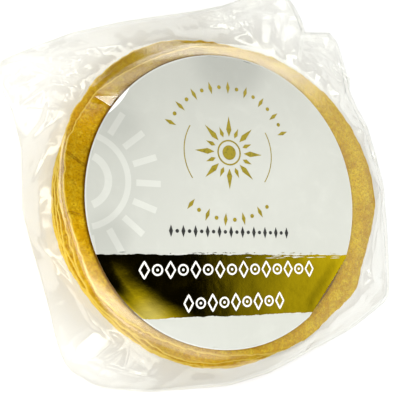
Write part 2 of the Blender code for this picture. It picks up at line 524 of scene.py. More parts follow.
def masa_material():
    """Cooked corn dough: deep gold with floury patches, toasted spots, dark cracks and a fine grain; the
    cracks' darkness, some darker places and the ring round the label are painted shade, and the pale rim is
    partly a painted highlight.
    """
    material, tree = new_material("corn_masa")
    broad = use_group(tree, MOTTLE, Scale=70.0, Low=0.38, High=0.62)
    close = use_group(tree, MOTTLE, Scale=420.0, Low=0.42, High=0.7)
    sandy = use_group(tree, MOTTLE, Scale=1100.0, Low=0.42, High=0.62)
    toast = use_group(tree, MOTTLE, Scale=190.0, Low=0.56, High=0.76)
    flecks = use_group(tree, SPECKS, Scale=480.0, Size=0.24)
    grain = use_group(tree, GRAIN, Scale=1300.0)
    colour = blend_colour(tree, broad, MASA_DEEP, MASA_GOLD)
    for mask, strength, tone in ((close, 0.55, MASA_PALE), (toast, 0.35, MASA_TOASTED),
                                 (sandy, 0.5, MASA_TOASTED), (flecks, 0.6, MASA_TOASTED)):
        colour = blend_colour(tree, maths(tree, "MULTIPLY", mask, strength), colour, tone)
    rightwards = use_group(tree, ACROSS, Start=-45.0 * MM, End=40.0 * MM)
    colour = tone_down(tree, rightwards, colour, LESS_RED)
    # painted shade: darker places and the shade round the label's edge
    colour = tone_places(tree, colour, MASA_PAINTED_SHADE_PLACES)
    rim, crack_shade = steep_masks(tree)
    # painted shade on the walls of the cracks
    colour = blend_colour(tree, crack_shade, colour, MASA_CRACK_SHADE)
    # the pale rim colour: a floury rim, partly a painted highlight along it
    colour = blend_colour(tree, rim, colour, MASA_RIM_FLOUR_AND_HIGHLIGHT)
    finish(tree, {"Base Color": colour, "Roughness": between(tree, close, 0.5, 0.75),
                  "Normal": bump(tree, grain, 0.0004)}, {"Specular IOR Level": 0.02})
    return material


def film_material():
    """Clear plastic film: a mirror share that grows as it turns edge-on, over a see-through sheet."""
    material, tree = new_material("clear_film")
    puckers = add_node(tree, "ShaderNodeTexNoise", {"Vector": object_place(tree), "Scale": 260.0,
                                                    "Detail": 3.0, "Distortion": 0.5})
    normal = bump(tree, puckers.outputs["Fac"], 0.00003)
    facing = add_node(tree, "ShaderNodeLayerWeight", {"Blend": 0.5, "Normal": normal})
    edge_on = maths(tree, "POWER", facing.outputs["Facing"], 5.0)
    taut = round_mask(tree, (0.0, 0.0, 0.0), 83.0 * MM, 94.0 * MM)
    share = between(tree, edge_on, between(tree, taut, 0.06, 0.095), 1.0)
    scuffs = use_group(tree, MOTTLE, Scale=240.0, Low=0.5, High=0.8)
    rough = between(tree, scuffs, between(tree, taut, 0.13, 0.1), 0.26)
    gloss = add_node(tree, "ShaderNodeBsdfPrincipled", {
        "Base Color": (0.97, 1.0, 0.96, 1.0), "Metallic": 1.0, "Roughness": rough, "Normal": normal})
    clear = add_node(tree, "ShaderNodeBsdfTransparent", {"Color": (0.973, 0.971, 0.958, 1.0)})
    both = add_node(tree, "ShaderNodeMixShader",
                    {"Fac": share, 1: clear.outputs["BSDF"], 2: gloss.outputs["BSDF"]})
    add_node(tree, "ShaderNodeOutputMaterial", {"Surface": both.outputs["Shader"]})
    return material


# painted shade: the label's darker tone away from its most brightly lit place, at the front right
LABEL_PAINTED_SHADE_TONE = (0.82, 0.82, 0.815)
# painted shade: greyer places of the label, as (middle, all grey within, none beyond, tone)
LABEL_PAINTED_SHADE_PLACES = (
    ((0.0, 66.0), 10.0, 26.0, (0.82, 0.82, 0.82)),
    ((-54.0, 30.0), 4.0, 16.0, (0.89, 0.89, 0.89)),
    ((-57.0, -18.0), 4.0, 14.0, (0.87, 0.87, 0.87)),
)


def paper_material(name, colour, shade):
    """Coated label paper: near-white with a faint cloudiness, fibres and a soft sheen, with painted shade
    away from its front right and in a few greyer places.
    """
    material, tree = new_material(name)
    cloud = use_group(tree, MOTTLE, Scale=28.0, Low=0.35, High=0.7)
    smudges = use_group(tree, MOTTLE, Scale=95.0, Low=0.48, High=0.78)
    grain = use_group(tree, GRAIN, Scale=2600.0)
    lighter = tuple(1.08 * part for part in colour)
    tone = blend_colour(tree, cloud, colour, shade)
    tone = blend_colour(tree, maths(tree, "MULTIPLY", smudges, 0.5), tone, lighter)
    # painted shade: darker away from the front right, and in the greyer places
    away = maths(tree, "SUBTRACT", 1.0, round_place(tree, (30.0, -30.0), 40.0, 120.0))
    tone = tone_down(tree, away, tone, LABEL_PAINTED_SHADE_TONE)
    tone = tone_places(tree, tone, LABEL_PAINTED_SHADE_PLACES)
    finish(tree, {"Base Color": tone, "Roughness": between(tree, cloud, 0.42, 0.55),
                  "Normal": bump(tree, grain, 0.00002)},
           {"Coat Weight": 0.45, "Coat Roughness": 0.22, "Specular IOR Level": 0.3})
    return material


def foil_material():
    """Hot-stamped gold foil: a soft mirror with cloudy worn patches, and a paler patch painted where its
    highlight falls at the lower left.
    """
    material, tree = new_material("gold_foil")
    cloud = use_group(tree, MOTTLE, Scale=90.0, Low=0.35, High=0.7)
    grain = use_group(tree, GRAIN, Scale=700.0)
    # a paler patch painted where the foil's highlight falls
    painted_highlight = round_place(tree, (-39.0, -52.0), 1.0, 11.0)
    colour = blend_colour(tree, cloud, (0.74, 0.55, 0.008), (0.62, 0.455, 0.006))
    colour = blend_colour(tree, painted_highlight, colour, (0.7, 0.57, 0.11))
    finish(tree, {"Base Color": colour, "Roughness": between(tree, cloud, 0.055, 0.11),
                  "Normal": bump(tree, grain, 0.000012)}, {"Metallic": 1.0})
    return material


def ink_material(name, colour, worn):
    """Flat printing ink, a little uneven where it lies on the paper."""
    material, tree = new_material(name)
    cloud = use_group(tree, MOTTLE, Scale=600.0, Low=0.45, High=0.7)
    finish(tree, {"Base Color": blend_colour(tree, cloud, colour, worn),
                  "Roughness": between(tree, cloud, 0.35, 0.55)}, {"Specular IOR Level": 0.4})
    return material


MASA = masa_material()
FILM = film_material()
PAPER = paper_material("label_paper", (0.685, 0.695, 0.64), (0.66, 0.67, 0.615))
TINT = paper_material("grey_tint", (0.59, 0.6, 0.54), (0.565, 0.575, 0.515))
PALE_PRINT = paper_material("pale_print", (0.69, 0.7, 0.635), (0.665, 0.675, 0.61))
FOIL = foil_material()
WHITE_INK = ink_material("white_ink", (0.92, 0.92, 0.88), (0.86, 0.86, 0.82))
GOLD_INK = ink_material("gold_ink", (0.31, 0.245, 0.012), (0.2, 0.16, 0.008))
DARK_INK = ink_material("dark_ink", (0.02, 0.02, 0.018), (0.05, 0.05, 0.045))


# ------------------------------------------------------------------ tortillas
# cracks in the top tortilla's margin, as (line through points, depth, half width)
CRACKS = (
    (((-79.5, 17.5), (-74.0, 16.0), (-68.0, 11.5), (-64.0, 10.0)), 0.9, 0.6),
    (((-71.0, 37.0), (-66.0, 35.5), (-60.0, 35.0)), 0.6, 0.55),
    (((-75.5, -9.5), (-72.0, -8.5), (-67.5, -10.0)), 0.8, 0.6),
    (((-74.0, 6.5), (-71.0, 4.0), (-69.5, 0.5)), 0.5, 0.5),
    (((77.5, -2.0), (73.0, -1.0), (68.0, -2.5)), 0.4, 0.55),
    (((-60.0, -46.0), (-56.5, -44.0), (-53.0, -42.0)), 0.5, 0.5),
    (((60.0, 50.0), (57.0, 46.0), (53.5, 44.0)), 0.35, 0.55),
    (((-42.0, 62.0), (-39.0, 58.0), (-35.0, 57.0)), 0.35, 0.5),
)


FLAT_REACH = 58.0
RIM_ROUNDING = 0.9


def masa_surface(x, y, seed):
    """Puffs, dimples and grain of a cooked tortilla's face."""
    puffs = 0.16 * soft_noise(x, y, 6.5, seed) + 0.1 * soft_noise(x, y, 2.7, seed + 1)
    return puffs + 0.06 * soft_noise(x, y, 1.1, seed + 2)


def make_tortilla(level):
    """One uneven round tortilla with a rounded, ragged rim. The top one, seen close, has finer rings."""
    top_one = level == TORTILLA_COUNT - 1
    sectors, middle_rings, outer_rings = (1100, 9, 50) if top_one else (540, 5, 10)
    angle = all_round(sectors)
    edge = tortilla_edge(level, angle)
    flat_edge = edge - RIM_ROUNDING
    half_rim = 0.5 * TORTILLA_THICKNESS - 0.08
    seed = 400 + 10 * level
    middle = level_top(level) - 0.5 * TORTILLA_THICKNESS
    lift = (level + 1) / TORTILLA_COUNT
    rings = []

    def place_ring(radius, offset, roughness=1.0):
        x, y = radius * np.cos(angle), radius * np.sin(angle)
        near_rim = smooth_step(edge - radius, 0.0, 5.0)
        sag = 0.22 * (1.0 - near_rim) * soft_noise(75 * np.cos(angle), 75 * np.sin(angle), 9.0, seed + 7)
        z = middle + offset * mix(0.82, 1.0, near_rim) + lift * stack_relief(x, y) + sag
        if roughness:
            z = z + roughness * masa_surface(x, y, seed) * mix(0.6, 1.0, near_rim)
            if top_one and offset > 0:
                for line, depth, width in CRACKS:
                    z = z - crease(x, y, line, depth, width)
        rings.append(raised_ring(angle, radius, z))

    for radius in np.linspace(2.0, FLAT_REACH, middle_rings):
        place_ring(np.full(sectors, radius), half_rim)
    for share in np.linspace(0.0, 1.0, outer_rings)[1:]:
        place_ring(mix(FLAT_REACH, flat_edge, share), half_rim)
    for turn in np.radians(np.linspace(90.0, -90.0, 9)[1:-1]):
        place_ring(flat_edge + RIM_ROUNDING * math.cos(turn), half_rim * math.sin(turn), 0.3)
    for share in (1.0, 0.6, 0.0):
        place_ring(mix(FLAT_REACH, flat_edge, share), -half_rim, 0.0)
    place_ring(np.full(sectors, 2.0), -half_rim, 0.0)
    return ring_piece(f"tortilla_{level + 1:02d}", rings, MASA)


# ------------------------------------------------------------------ film
FILM_SECTORS = 1000
# pleats that run out from the stack, as (direction, crest height, half width in degrees)
PLEATS = ((6, 2.0, 5), (26, 2.4, 5.5), (42, 3.0, 5), (62, 2.8, 4.5), (82, 2.2, 6), (109, 1.6, 6),
          (134, 2.0, 5), (148, 3.4, 5), (166, 2.0, 5), (182, 1.8, 5), (204, 2.6, 5.5), (229, 3.0, 5.5),
          (244, 2.0, 5), (263, 1.4, 6), (288, 1.4, 6), (311, 2.2, 5), (334, 3.2, 5))
# where the film reaches the table beyond the stack's foot, as (direction, distance)
FALL_REACH = ((-180, 7.0), (-150, 4.0), (-110, 5.0), (-80, 7.0), (-40, 11.0), (0, 13.0), (50, 14.0),
              (90, 13.0), (130, 10.0), (160, 8.0), (180, 7.0))
# named folds of the film, as (line through points, height, half width)
FOLDS = (
    (((-88.0, -14.0), (-74.0, -32.3), (-67.7, -41.0), (-61.5, -53.0), (-52.6, -60.5), (-46.0, -63.0)),
     1.1, 1.8),
    (((-46.0, -62.3), (-27.9, -69.5), (-13.7, -75.0)), 0.8, 1.5),
    (((-64.6, -66.9), (-53.9, -71.7), (-42.9, -75.5), (-30.0, -79.0)), 0.7, 1.4),
    (((-100.3, 55.4), (-86.0, 57.8), (-69.1, 63.2), (-52.0, 66.0)), 1.5, 2.6),
    (((-99.9, 44.6), (-85.8, 48.0), (-71.1, 50.1), (-60.1, 55.2)), -1.2, 2.2),
    (((-93.7, 36.2), (-80.0, 45.0), (-70.1, 43.4), (-67.0, 33.0)), 1.2, 1.8),
    (((-90.0, 20.0), (-82.0, 30.0), (-80.0, 44.0)), 0.7, 1.8),
    (((-88.6, 1.8), (-83.0, 16.0), (-79.0, 30.0)), 0.7, 1.6),
    (((88.0, -52.0), (97.0, -44.0), (100.0, -33.0)), 1.0, 1.8),
    (((83.0, -50.0), (92.0, -42.0), (95.0, -31.0)), -0.8, 1.8),
    (((55.7, 74.7), (66.0, 70.0), (78.2, 66.4)), 1.3, 2.0),
    (((70.2, 80.1), (76.0, 72.0), (81.5, 64.5)), 1.3, 2.0),
    (((60.0, 84.0), (70.2, 80.1), (84.0, 72.0)), -1.0, 2.0),
    (((0.4, 95.0), (8.0, 90.0), (11.4, 83.6)), 1.5, 2.0),
    (((-6.0, 86.0), (8.0, 88.0), (20.0, 96.0), (35.0, 100.0)), 1.2, 2.2),
    (((35.0, 101.0), (44.0, 101.5), (53.0, 102.0)), 1.0, 2.0),
    (((75.9, 53.2), (86.7, 41.9), (92.9, 32.4), (97.0, 10.4)), 1.3, 2.0),
    (((84.0, 22.0), (91.0, 14.0), (94.0, 0.0), (92.0, -14.0)), 0.8, 1.6),
    (((20.0, -78.0), (40.0, -74.0), (58.0, -66.0), (72.0, -58.0)), 0.8, 1.6),
)
# short folds that meet in one crumpled spot, as (x, y, length, directions in degrees)
STARS = (
    (-46.0, -62.5, 11.0, (35, 95, 150, 215, 262, 320)),
    (6.5, 89.0, 12.0, (20, 80, 125, 190, 245)),
    (76.0, 70.0, 12.0, (10, 70, 120, 185, 250, 310)),
    (-80.0, 50.0, 13.0, (0, 48, 95, 150, 200, 255, 310)),
)
# the film pinched up between the label's edge and the rim behind it, as (line, height, half width)
PINCH = (((-47.5, 43.0), (-53.0, 40.6), (-62.8, 39.9)), 0.75, 2.4)
# patches of dense crumpling, as (x, y, radius, strength)
CRUMPLES = ((-84, 52, 22, 1.0), (-46, -62, 10, 0.5), (6, 90, 13, 0.7), (70, 72, 17, 0.6), (95, -40, 14, 0.45),
            (-84, 26, 12, 0.4), (88, 34, 12, 0.5), (-30, 84, 14, 0.35))


# heights that the film falls to, where it first nears the table and just beyond its cut edge
FOOT_HEIGHT, HEM_HEIGHT = 4.2, 1.2


def pleat_height(angle):
    """Height of the pleats in each direction, with sharp crests."""
    total = np.zeros_like(angle)
    for direction, height, spread in PLEATS:
        total = total + height * np.maximum(0.0, 1.0 - degrees_apart(angle, direction) / spread)
    return total


def fall_reach(angle):
    """How far beyond the stack's foot the film meets the table."""
    directions, distances = zip(*FALL_REACH)
    turned = (np.degrees(angle) + 180.0) % 360.0 - 180.0
    return np.interp(turned, directions, distances)


def taut_profile(supports, radius):
    """Height at radius of a film pulled tight over supports, each a (distance, height)."""
    hull = []
    for point in sorted(supports):
        while len(hull) > 1 and ((hull[-1][0] - hull[-2][0]) * (point[1] - hull[-2][1])
                                 >= (hull[-1][1] - hull[-2][1]) * (point[0] - hull[-2][0])):
            hull.pop()
        hull.append(point)
    distances, heights = zip(*hull)
    return np.interp(radius, distances, heights)


def crumple_mask(x, y):
    """1 in the middle of the densely crumpled patches and 0 away from them."""
    mask = np.zeros_like(x)
    for centre_x, centre_y, radius, strength in CRUMPLES:
        near = np.exp(-((x - centre_x) ** 2 + (y - centre_y) ** 2) / (0.7 * radius) ** 2)
        mask = np.maximum(mask, strength * near)
    return mask


def radial_streaks(x, y):
    """Narrow tension folds that run out from the stack to the hem."""
    angle, radius = np.arctan2(y, x), np.hypot(x, y)
    around = (np.degrees(angle) + 180.0) / 360.0 * 128.0
    return facets(around, radius / 17.0, 1.0, 57)


def long_facets(x, y, turn, size, seed):
    """Facets about size millimetres wide and three times as long, which run in that direction."""
    along = x * math.cos(math.radians(turn)) + y * math.sin(math.radians(turn))
    across = y * math.cos(math.radians(turn)) - x * math.sin(math.radians(turn))
    return facets(along / 3.0, across, size, seed)


def film_wrinkles(x, y, free):
    """Facets and folds of the film, strongest where it hangs free."""
    broad = 1.5 * facets(x, y, 17.0, 51) + 0.7 * facets(x + 7.0, y, 8.0, 52) + 0.5 * radial_streaks(x, y)
    small = 0.6 * long_facets(x, y, 62.0, 3.4, 53) + 0.5 * long_facets(x, y, -18.0, 3.0, 54)
    small = small + 0.35 * facets(x, y, 3.2, 55)
    total = mix(0.012, 1.0, free) * (broad + (0.12 + crumple_mask(x, y)) * small)
    folds = list(FOLDS)
    for centre_x, centre_y, length, directions in STARS:
        for turn in np.radians(directions):
            tip = (centre_x + length * math.cos(turn), centre_y + length * math.sin(turn))
            folds.append((((centre_x, centre_y), tip), 0.7, 1.3))
    for line, height, width in folds:
        total = total + crease(x, y, line, height, width) * free
    return total


def bottom_sheet_height(x, y):
    """The lower sheet lies on the table with shallow buckles beyond the stack."""
    beyond = smooth_step(np.hypot(x, y), 76.0, 86.0)
    return 0.12 + beyond * (0.45 + 0.4 * facets(x, y, 13.0, 61))


def taut_round(edge):
    """An edge as taut film goes round it: over the bumps and straight across the dips."""
    over_bumps = np.max([np.roll(edge, k) for k in range(-9, 10)], axis=0)
    return np.mean([np.roll(over_bumps, k) for k in range(-12, 13)], axis=0)


def film_rings(angle):
    """Distances of the upper sheet's rings of points, close together at the rim and over the skirt."""
    rim = taut_round(tortilla_edge(TORTILLA_COUNT - 1, angle))
    foot, edge = film_foot(angle), film_edge(angle)
    rings = [np.full_like(angle, radius) for radius in (3.0, 28.0, 54.0)]
    for start, end, count in ((54.0, rim - 7.0, 5), (rim - 7.0, rim + 2.5, 20),
                              (rim + 2.5, foot + 1.0, 20), (foot + 1.0, edge, 49)):
        rings += [mix(start, end, share) for share in np.linspace(0.0, 1.0, count + 1)[1:]]
    return np.array(rings)


def stack_foot(angle):
    """The furthest edge of the stack in each direction."""
    return np.max([tortilla_edge(level, angle) for level in range(TORTILLA_COUNT)], axis=0)


def film_foot(angle):
    """Where the upper sheet meets the table, kept inside the film's cut edge."""
    return np.minimum(stack_foot(angle) + fall_reach(angle), film_edge(angle) - 4.0)


def film_top_height(angle, rings):
    """Height of the upper sheet at every point of its rings."""
    x, y = rings * np.cos(angle), rings * np.sin(angle)
    foot, cut_edge, stack_edge = film_foot(angle), film_edge(angle), stack_foot(angle)
    edges = [taut_round(tortilla_edge(level, angle)) for level in range(TORTILLA_COUNT)]
    tops = []
    for level, reach in enumerate(edges):
        relief = stack_relief(reach * np.cos(angle), reach * np.sin(angle)) * (level + 1) / TORTILLA_COUNT
        tops.append(level_top(level) + relief + FILM_GAP)
    base = np.zeros_like(rings)
    bend = mix(1.0, 2.2, bell(angle, 0.0, 70.0))
    for j in range(len(angle)):
        supports = [(edge[j] + FILM_GAP, top[j]) for edge, top in zip(edges, tops)]
        supports += [(0.0, tops[-1][j]), (foot[j], FOOT_HEIGHT), (cut_edge[j] + 3.0, HEM_HEIGHT)]
        around = [taut_profile(supports, rings[:, j] + step * bend[j]) for step in np.linspace(-1.0, 1.0, 5)]
        base[:, j] = np.mean(around, axis=0)
    rim = edges[-1]
    inside = np.minimum(rings, rim)
    at_rim = stack_relief(rim * np.cos(angle), rim * np.sin(angle))
    base = base + stack_relief(inside * np.cos(angle), inside * np.sin(angle)) - at_rim
    free = smooth_step(rings, stack_edge + 0.5, stack_edge + 7.0)
    hem = 1.0 - 0.75 * smooth_step(rings, cut_edge - 6.0, cut_edge)
    beyond_label = smooth_step(np.hypot(x, y), 50.0, 68.0)
    height = base + free * hem * pleat_height(angle) + hem * film_wrinkles(x, y, free) * beyond_label
    over = smooth_step(rings, rim - 3.0, rim + 0.5)
    on_stack = level_top(TORTILLA_COUNT - 1) + stack_relief(x, y) + FILM_GAP - 0.1
    lowest = mix(bottom_sheet_height(x, y) + FILM_GAP, on_stack, 1.0 - over)
    return np.maximum(height, lowest) + crease(x, y, *PINCH)


# corners of the triangular pleat at the label's back left edge
PLEAT_CORNERS = ((-63.6, 40.0), (-53.6, 41.4), (-56.9, 36.4))
PLEAT_SLOPE = (0.1, 0.2)
PLEAT_LIFT = 1.15


def make_pleat():
    """A small pleat of the film with its two long sides folded over, where it shines most."""
    corners = np.array(PLEAT_CORNERS)
    middle = corners.mean(0)
    level = STACK_TOP + FILM_GAP + stack_relief(*middle) + PLEAT_LIFT

    def on_slope(flat, lift):
        return np.column_stack([flat, level - (flat - middle) @ np.array(PLEAT_SLOPE) + lift])

    steps = 12
    places = [(a, b) for a in range(steps + 1) for b in range(steps + 1 - a)]
    index = {place: k for k, place in enumerate(places)}
    flat = corners[0] + np.array(places) / steps @ (corners[1:] - corners[0])
    faces = []
    for a in range(steps):
        for b in range(steps - a):
            faces.append((index[a, b + 1], index[a + 1, b], index[a, b]))
            if a + b < steps - 1:
                faces.append((index[a, b + 1], index[a + 1, b + 1], index[a + 1, b]))
    shapes = [(on_slope(flat, 0.16 * facets(flat[:, 0], flat[:, 1], 2.6, 63)), faces)]
    along = np.linspace(0.0, 1.0, steps)[:, None]
    for end in corners[1:]:
        outer = corners[0] + along * (end - corners[0])
        folded = np.vstack([outer, outer + along * 0.16 * (middle - outer)])
        shapes += [(on_slope(folded, lift), grid_faces(2, steps)) for lift in (0.2, 0.35)]
    return joined_piece("film_pleat", shapes, FILM)


def make_film():
    """Upper sheet, lower sheet, the sealed hem round them and a folded pleat."""
    angle = all_round(FILM_SECTORS)
    radii = film_rings(angle)
    upper = raised_ring(angle, radii, film_top_height(angle, radii))
    sheet = ring_piece("film_upper_sheet", upper, FILM, underside=False)
    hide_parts("film_bag")
    radii = np.array([mix(3.0, film_edge(angle), share) for share in np.linspace(0.0, 1.0, 30) ** 0.6])
    lower = raised_ring(angle, radii, bottom_sheet_height(radii * np.cos(angle), radii * np.sin(angle)))
    ring_piece("film_lower_sheet", lower, FILM, underside=False)
    make_hem(angle, upper[-1], lower[-1])
    make_pleat()


def make_hem(angle, upper_edge, lower_edge):
    """The rolled bead where the two sheets are sealed together."""
    bead = 0.28
    middle = (upper_edge + lower_edge) / 2
    middle[:, 2] = np.maximum(middle[:, 2], bead + 0.05)
    outwards = raised_ring(angle, 1.0, np.zeros_like(angle))
    up = np.array([0.0, 0.0, 1.0])
    tall = np.maximum(bead, 0.5 * (upper_edge[:, 2] - lower_edge[:, 2]) + 0.1)[:, None]
    turns = np.radians(np.arange(300, -1, -60))
    points = np.concatenate([middle + bead * math.cos(t) * outwards + tall * math.sin(t) * up for t in turns])
    points[:, 2] = np.maximum(points[:, 2], 0.03)
    return new_piece("film_sealed_hem", points, wrap_faces(len(turns), len(angle)), FILM)


def wrap_faces(rings, sectors):
    """Faces of a tube that closes both ways."""
    i, j = np.meshgrid(np.arange(rings), np.arange(sectors), indexing="ij")
    here, after = i * sectors, (i + 1) % rings * sectors
    next_j = (j + 1) % sectors
    return np.stack([here + j, after + j, after + next_j, here + next_j], -1).reshape(-1, 4).tolist()


# ------------------------------------------------------------------ label
FOLD_DIRECTION = -39.0
FOLD_DISTANCE = 64.7
LABEL_FLAT_REACH = 48.0
CUT_ROUNDING = 0.08


def label_edge(angle):
    """Distance to the label's edge, which is folded under along a short chord."""
    apart = np.minimum(degrees_apart(angle, FOLD_DIRECTION), 30.0)
    return np.minimum(LABEL_RADIUS, FOLD_DISTANCE / np.cos(np.radians(apart)))


def label_face(x, y):
    """Height of the label's printed face."""
    radius = np.hypot(x, y)
    angle = np.arctan2(y, x)
    level = STACK_TOP + FILM_GAP + LABEL_LIFT + LABEL_THICKNESS + stack_relief(x, y)
    curl = 0.36 * bell(angle, -147.0, 13.0) * np.clip((radius - 62.3) / 4.7, 0.0, 1.2) ** 1.8
    lip = 0.3 * bell(angle, 139.0, 7.0) * smooth_step(radius, 62.0, 67.0)
    folded = 1.0 - smooth_step(degrees_apart(angle, FOLD_DIRECTION), 9.0, 17.0)
    inwards = label_edge(angle) - radius
    fold = 0.12 * folded * (1.0 - smooth_step(inwards, 1.2, 7.0))
    rolled = 0.16 * bell(angle, 140.0, 40.0) * (1.0 - smooth_step(inwards, 0.0, 1.1))
    soft_dents = 0.09 * soft_noise(x, y, 13.0, 73) * smooth_step(y, -15.0, 15.0)
    ripple = 0.05 * soft_noise(x, y, 18.0, 71) + 0.02 * soft_noise(x, y, 7.0, 72)
    return level + curl + lip + fold - rolled + soft_dents + ripple


def make_label():
    """The round paper label: face, cut edge and underside."""
    sectors = 540
    angle = all_round(sectors)
    edge = label_edge(angle)

    def label_ring(radius, drop=0.0):
        return raised_ring(angle, radius, label_face(radius * np.cos(angle), radius * np.sin(angle)) - drop)

    rings = [label_ring(radius) for radius in np.linspace(1.5, LABEL_FLAT_REACH, 26)]
    rings += [label_ring(mix(LABEL_FLAT_REACH, edge - CUT_ROUNDING, share))
              for share in np.linspace(0.0, 1.0, 40)[1:]]
    rings += [label_ring(edge, CUT_ROUNDING), label_ring(edge, LABEL_THICKNESS - CUT_ROUNDING),
              label_ring(edge - CUT_ROUNDING, LABEL_THICKNESS)]
    for share in (0.96, 0.9, 0.83, 0.75, 0.6, 0.4, 0.0):
        rings.append(label_ring(mix(LABEL_FLAT_REACH, edge, share), LABEL_THICKNESS))
    rings.append(label_ring(1.5, LABEL_THICKNESS))
    label = ring_piece("label_paper", rings, PAPER)
    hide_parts("label")


# the foil band's edges and the printed fields' outer ends, as shares of the label's radius
BAND_TOP, BAND_BOTTOM = -0.38, -0.7825
FIELD_END = 0.997
# how far the printed layers stand above the label's face
TINT_LIFT = 0.025
PRINT_LIFT = 0.06
INK_LIFT = 0.1


def inside_edge(x, y, margin):
    """Places pulled in, where needed, to stay that far inside the label's edge."""
    reach = label_edge(np.arctan2(y, x)) - margin
    beyond = np.maximum(np.hypot(x, y) / reach, 1.0)
    return x / beyond, y / beyond


def torn_line(x, level, seed):
    """A printed edge as rough as a dry brush stroke, at that share of the label's radius."""
    rough = 0.35 * soft_noise(x, x * 0.0, 9.0, seed) + 0.22 * facets(x, x * 0.0, 2.6, seed + 1)
    return level * LABEL_RADIUS + rough + 0.12 * soft_noise(x, x * 0.0, 0.7, seed + 2)


def make_band(name, bottom, top, lift, material, rows, margin):
    """A printed field right across the label between two heights, with rough printed edges."""
    columns = 400
    share_y, share_x = np.meshgrid(np.linspace(0, 1, rows), np.linspace(-1, 1, columns), indexing="ij")
    flat_y = mix(bottom, top, share_y) * LABEL_RADIUS
    x = share_x * np.sqrt(LABEL_RADIUS ** 2 - flat_y ** 2)
    y = mix(torn_line(x, bottom, 81), torn_line(x, top, 91), share_y)
    x, y = inside_edge(x, y, margin)
    points = np.stack([x, y, label_face(x, y) + lift], -1).reshape(-1, 3)
    return new_piece(name, points, grid_faces(rows, columns), material)


def make_band_side_shade():
    """The band's edge where it goes over the label's cut side, in black ink as painted shade of the gap under
    the label.
    """
    columns = 60
    shapes = []
    low, high = math.asin(BAND_BOTTOM), math.asin(BAND_TOP)
    for start, end in ((math.pi - low, math.pi - high), (high, low)):
        angle = np.linspace(start, end, columns)
        reach = label_edge(angle) + 0.02
        face = label_face(reach * np.cos(angle), reach * np.sin(angle))
        rows = [raised_ring(angle, reach, face + lift) for lift in (-LABEL_THICKNESS, TINT_LIFT)]
        shapes.append((np.concatenate(rows), grid_faces(2, columns)))
    # black ink here is painted shade
    return joined_piece("dark_band_side_shade", shapes, DARK_INK)


def make_painted_glare():
    """A white patch painted inside the label's back left edge as a glare of light, over where the tint stops
    short.
    """
    columns, rows, deepest = 24, 6, 1.5
    turns = np.radians(np.linspace(136.5, 150.0, columns))
    depth = deepest * np.sin(np.linspace(0.0, math.pi, columns)) ** 0.8
    reach = LABEL_RADIUS - 0.15 - depth * np.linspace(0.0, 1.0, rows)[:, None]
    flat = np.stack([reach * np.cos(turns), reach * np.sin(turns)], -1).reshape(-1, 2)
    # painted highlight: the glare on the label's back left edge
    return new_piece("white_painted_glare", with_height(flat, PRINT_LIFT), grid_faces(rows, columns), WHITE_INK)


def make_brush_marks():
    """Bare slits just inside the band's rough upper edge and foil flecks just outside it."""
    draw = np.random.default_rng(95)
    slits, flecks = [], []
    for _ in range(15):
        start = draw.uniform(0.0, 0.82) * LABEL_RADIUS
        length, height = draw.uniform(1.5, 8.0), draw.uniform(0.25, 0.5)
        level = BAND_TOP * LABEL_RADIUS - draw.uniform(0.5, 1.7)
        slits.append(sliver(start, level, length, height, INK_LIFT))
    for _ in range(22):
        start = draw.uniform(-0.8, 0.85) * LABEL_RADIUS
        length, height = draw.uniform(0.6, 3.5), draw.uniform(0.2, 0.4)
        level = BAND_TOP * LABEL_RADIUS + draw.uniform(0.45, 1.0)
        flecks.append(sliver(start, level, length, height, PRINT_LIFT))
    joined_piece("white_brush_slits", slits, PAPER)
    joined_piece("foil_brush_flecks", flecks, FOIL)


def sliver(start, level, length, height, lift):
    """A thin pointed printed mark that runs to the right from start."""
    outline = [(start, level), (start + 0.3 * length, level - 0.5 * height), (start + length, level),
               (start + 0.6 * length, level + 0.5 * height)]
    return kept_inside(patch(outline, lift), 0.3, lift)


def kept_inside(shape, margin, lift):
    """A printed shape pulled in, where needed, from the label's cut edge."""
    points, faces = shape
    x, y = inside_edge(points[:, 0], points[:, 1], margin)
    return with_height(np.column_stack([x, y]), lift), faces


def resample(points, step, closed=False):
    """Points no more than step apart along the line through points."""
    points = [np.array(p, float) for p in points]
    if closed:
        points.append(points[0])
    result = [points[0]]
    for start, end in zip(points[:-1], points[1:]):
        count = max(1, int(math.ceil(np.linalg.norm(end - start) / step)))
        result += [mix(start, end, k / count) for k in range(1, count + 1)]
    return np.array(result[:-1] if closed else result)


def stroke(points, width, lift, closed=False, step=0.8):
    """A flat printed line of that width along points, laid on the label."""
    line = resample(points, step, closed)
    if closed:
        before, after = np.roll(line, 1, 0), np.roll(line, -1, 0)
    else:
        before, after = np.vstack([line[0], line[:-1]]), np.vstack([line[1:], line[-1]])
    along = after - before
    along /= np.linalg.norm(along, axis=1)[:, None] + 1e-9
    side = np.stack([-along[:, 1], along[:, 0]], -1) * width / 2
    count = len(line)
    spans = range(count if closed else count - 1)
    faces = [(k, (k + 1) % count, count + (k + 1) % count, count + k) for k in spans]
    return with_height(np.concatenate([line - side, line + side]), lift), faces


def patch(points, lift):
    """A filled printed shape with a middle point, laid on the label."""
    rim = resample(points, 0.8, closed=True)
    flat = np.vstack([rim, rim.mean(0)])
    count = len(rim)
    faces = [(count, k, (k + 1) % count) for k in range(count)]
    return with_height(flat, lift), faces


def with_height(flat, lift):
    """Flat places raised onto the label's face."""
    return np.column_stack([flat, label_face(flat[:, 0], flat[:, 1]) + lift])


def arc(centre, radius, start, end, count=40):
    """Points along an arc, with directions in degrees."""
    turns = np.radians(np.linspace(start, end, count))
    return np.stack([centre[0] + radius * np.cos(turns), centre[1] + radius * np.sin(turns)], -1)


